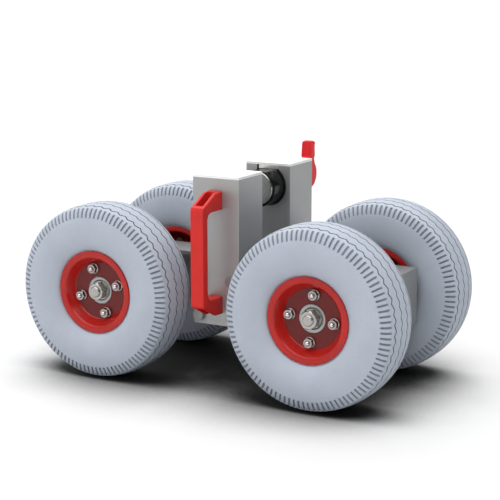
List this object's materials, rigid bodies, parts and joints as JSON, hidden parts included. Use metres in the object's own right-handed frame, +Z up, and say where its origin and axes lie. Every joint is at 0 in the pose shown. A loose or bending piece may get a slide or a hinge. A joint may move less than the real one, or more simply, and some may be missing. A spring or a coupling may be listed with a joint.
{
  "type": "wheel dolly",
  "caption": "Low four-wheel dolly with a fixed jaw, a lever-operated clamp plunger for an upright panel, and a red carry handle.",
  "frame": {"origin": "on the floor under the middle of the bounding box", "axes": "+X along the direction of travel, +Z up, -Y towards the carry handle side"},
  "size_m": [0.612, 0.374, 0.328],
  "materials": {
    "tyre_grey": "matt light grey",
    "rim_red": "gloss red",
    "lever_red": "satin red",
    "handle_red": "satin red",
    "bush_plastic": "matt black",
    "plunger_black": "gloss black",
    "pad_rubber": "matt black",
    "bright_steel": "turned",
    "chrome_fasteners": "bright",
    "zinc_steel": "zinc plated",
    "satin_steel": "satin"
  },
  "bodies": {
    "chassis": {"axle_left": "zinc_steel", "axle_nuts": "zinc_steel", "axle_right": "zinc_steel", "axle_sleeve_left": "satin_steel", "axle_sleeve_right": "satin_steel", "axle_washers": "zinc_steel", "beam_end_plate_left": "satin_steel", "beam_end_plate_right": "satin_steel", "bracket_screws": "zinc_steel", "carry_handle": "handle_red", "chassis_beam": "satin_steel", "front_cap": "satin_steel", "front_post": "satin_steel", "guide_bar": "bright_steel", "handle_screws": "zinc_steel", "lever_bracket": "satin_steel", "pin_clips": "zinc_steel", "pivot_pin": "zinc_steel", "plunger_bush": "bush_plastic", "rear_cap": "satin_steel", "rear_post": "satin_steel", "return_spring": "zinc_steel", "slot_floor_pad": "pad_rubber", "spacer_block": "satin_steel", "stem_bush": "bush_plastic", "tie_bolts": "zinc_steel", "tie_plate": "zinc_steel"},
    "wheel_fl": {"wheel_fl_bushes": "bush_plastic", "wheel_fl_hub": "zinc_steel", "wheel_fl_rim_bolts": "chrome_fasteners", "wheel_fl_rim_inner": "rim_red", "wheel_fl_rim_nuts": "chrome_fasteners", "wheel_fl_rim_outer": "rim_red", "wheel_fl_tyre": "tyre_grey"},
    "wheel_fr": {"wheel_fr_bushes": "bush_plastic", "wheel_fr_hub": "zinc_steel", "wheel_fr_rim_bolts": "chrome_fasteners", "wheel_fr_rim_inner": "rim_red", "wheel_fr_rim_nuts": "chrome_fasteners", "wheel_fr_rim_outer": "rim_red", "wheel_fr_tyre": "tyre_grey"},
    "wheel_rl": {"wheel_rl_bushes": "bush_plastic", "wheel_rl_hub": "zinc_steel", "wheel_rl_rim_bolts": "chrome_fasteners", "wheel_rl_rim_inner": "rim_red", "wheel_rl_rim_nuts": "chrome_fasteners", "wheel_rl_rim_outer": "rim_red", "wheel_rl_tyre": "tyre_grey"},
    "wheel_rr": {"wheel_rr_bushes": "bush_plastic", "wheel_rr_hub": "zinc_steel", "wheel_rr_rim_bolts": "chrome_fasteners", "wheel_rr_rim_inner": "rim_red", "wheel_rr_rim_nuts": "chrome_fasteners", "wheel_rr_rim_outer": "rim_red", "wheel_rr_tyre": "tyre_grey"},
    "plunger": {"plunger": "plunger_black", "pressure_disc": "bright_steel", "disc_screw": "zinc_steel"},
    "lever": {"cam_lever": "lever_red"}
  },
  "joints": [
    {"name": "wheel_fl_spin", "type": "hinge", "parent": "chassis", "child": "wheel_fl", "pos_m": [-0.176, -0.145, 0.13], "axis": [0, 1, 0], "continuous": true},
    {"name": "wheel_fr_spin", "type": "hinge", "parent": "chassis", "child": "wheel_fr", "pos_m": [0.176, -0.145, 0.13], "axis": [0, 1, 0], "continuous": true},
    {"name": "wheel_rl_spin", "type": "hinge", "parent": "chassis", "child": "wheel_rl", "pos_m": [-0.176, 0.085, 0.13], "axis": [0, 1, 0], "continuous": true},
    {"name": "wheel_rr_spin", "type": "hinge", "parent": "chassis", "child": "wheel_rr", "pos_m": [0.176, 0.085, 0.13], "axis": [0, 1, 0], "continuous": true},
    {"name": "lever_swing", "type": "hinge", "parent": "chassis", "child": "lever", "pos_m": [0, 0.148, 0.274], "axis": [-1, 0, 0], "range_deg": [0, 90]},
    {"name": "plunger_slide", "type": "slide", "parent": "chassis", "child": "plunger", "axis": [0, 1, 0], "range_m": [0, 0.015], "deforming": ["return_spring"]}
  ],
  "couplings": [
    {"joint": "plunger_slide", "follows": "lever_swing", "m_per_rad": 0.009549}
  ]
}
